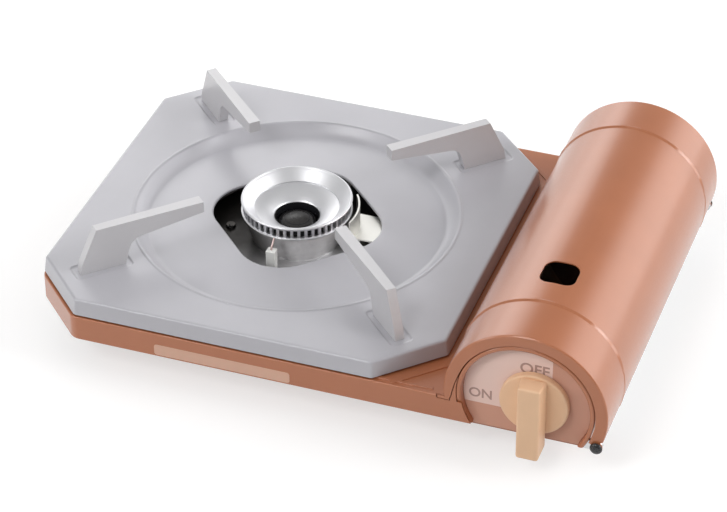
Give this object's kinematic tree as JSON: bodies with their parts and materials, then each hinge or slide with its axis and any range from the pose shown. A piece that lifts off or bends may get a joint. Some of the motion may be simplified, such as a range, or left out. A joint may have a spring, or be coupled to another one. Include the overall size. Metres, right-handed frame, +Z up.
{
  "type": "butane cassette stove",
  "caption": "Portable gas stove: pressed case with lift-off drip tray and trivet arms, slotted round burner, and a cartridge bay with hinged half-round cover and turn knob.",
  "frame": {"origin": "bottom centre of the stove's bounding box, on the table plane", "axes": "+X from the burner to the cartridge bay, +Y away from the knob, +Z up"},
  "size_m": [0.341, 0.2524, 0.087],
  "materials": {
    "copper": "satin copper paint on pressed steel",
    "grey": "satin silver-grey enamel",
    "steel": "plain zinc-plated sheet",
    "dial": "matt with a lighter wedge",
    "magnet": "dark sintered",
    "bright": "bright plated",
    "zinc": "die cast",
    "rubber": "matt",
    "brass": "machined",
    "aluminium": "turned",
    "black_enamel": "black enamel",
    "ceramic": "glazed white",
    "lead_sleeve": "silicone sleeve",
    "ivory": "moulded",
    "black_plastic": "moulded",
    "beige": "moulded, fine grain"
  },
  "bodies": {
    "base": {"upper_shell": "copper", "bottom_pan": "steel", "cartridge_trough": "steel", "front_boss": "copper", "dial_panel": "dial", "bulkhead": "steel", "partition_plate": "steel", "magnets": "magnet", "guide_key": "bright", "regulator_body": "zinc", "regulator_cap": "zinc", "diaphragm": "rubber", "regulator_screws": "bright", "inlet_seal": "rubber", "gas_valve": "brass", "jet": "brass", "mixing_tube": "steel", "burner_base": "bright", "burner_ring": "aluminium", "burner_cap": "aluminium", "burner_core": "black_enamel", "burner_bracket": "steel", "shield_screws": "bright", "heat_shield": "black_enamel", "heat_panel": "steel", "electrode": "ceramic", "electrode_wire": "bright", "electrode_bracket": "steel", "ignition_lead": "lead_sleeve", "piezo_body": "ivory", "standoffs": "steel", "case_screws": "bright", "rubber_feet": "rubber", "hinge_brackets": "steel", "hinge_pins": "bright", "hinge_caps": "black_plastic"},
    "knob": {"control_knob": "beige", "valve_spindle": "brass", "ignition_cam": "black_plastic"},
    "plunger": {"piezo_plunger": "black_plastic"},
    "cover": {"cartridge_cover": "copper"},
    "tray": {"drip_tray": "grey", "trivet_arm_front_left": "grey", "trivet_arm_front_right": "grey", "trivet_arm_back_left": "grey", "trivet_arm_back_right": "grey"}
  },
  "joints": [
    {"name": "knob_turn", "type": "hinge", "parent": "base", "child": "knob", "pos_m": [0.1292, -0.1158, 0.043], "axis": [0, -1, 0], "range_deg": [0, 90]},
    {"name": "plunger_slide", "type": "slide", "parent": "base", "child": "plunger", "axis": [-1, 0, 0], "range_m": [0, 0.005]},
    {"name": "cover_hinge", "type": "hinge", "parent": "base", "child": "cover", "pos_m": [0.1647, -0.1158, 0.0235], "axis": [0, 1, 0], "range_deg": [0, 95]},
    {"name": "tray_lift", "type": "slide", "parent": "base", "child": "tray", "axis": [0, 0, 1], "range_m": [0, 0.06]}
  ],
  "couplings": [
    {"joint": "plunger_slide", "follows": "knob_turn", "m_per_rad": 0.0031831}
  ]
}
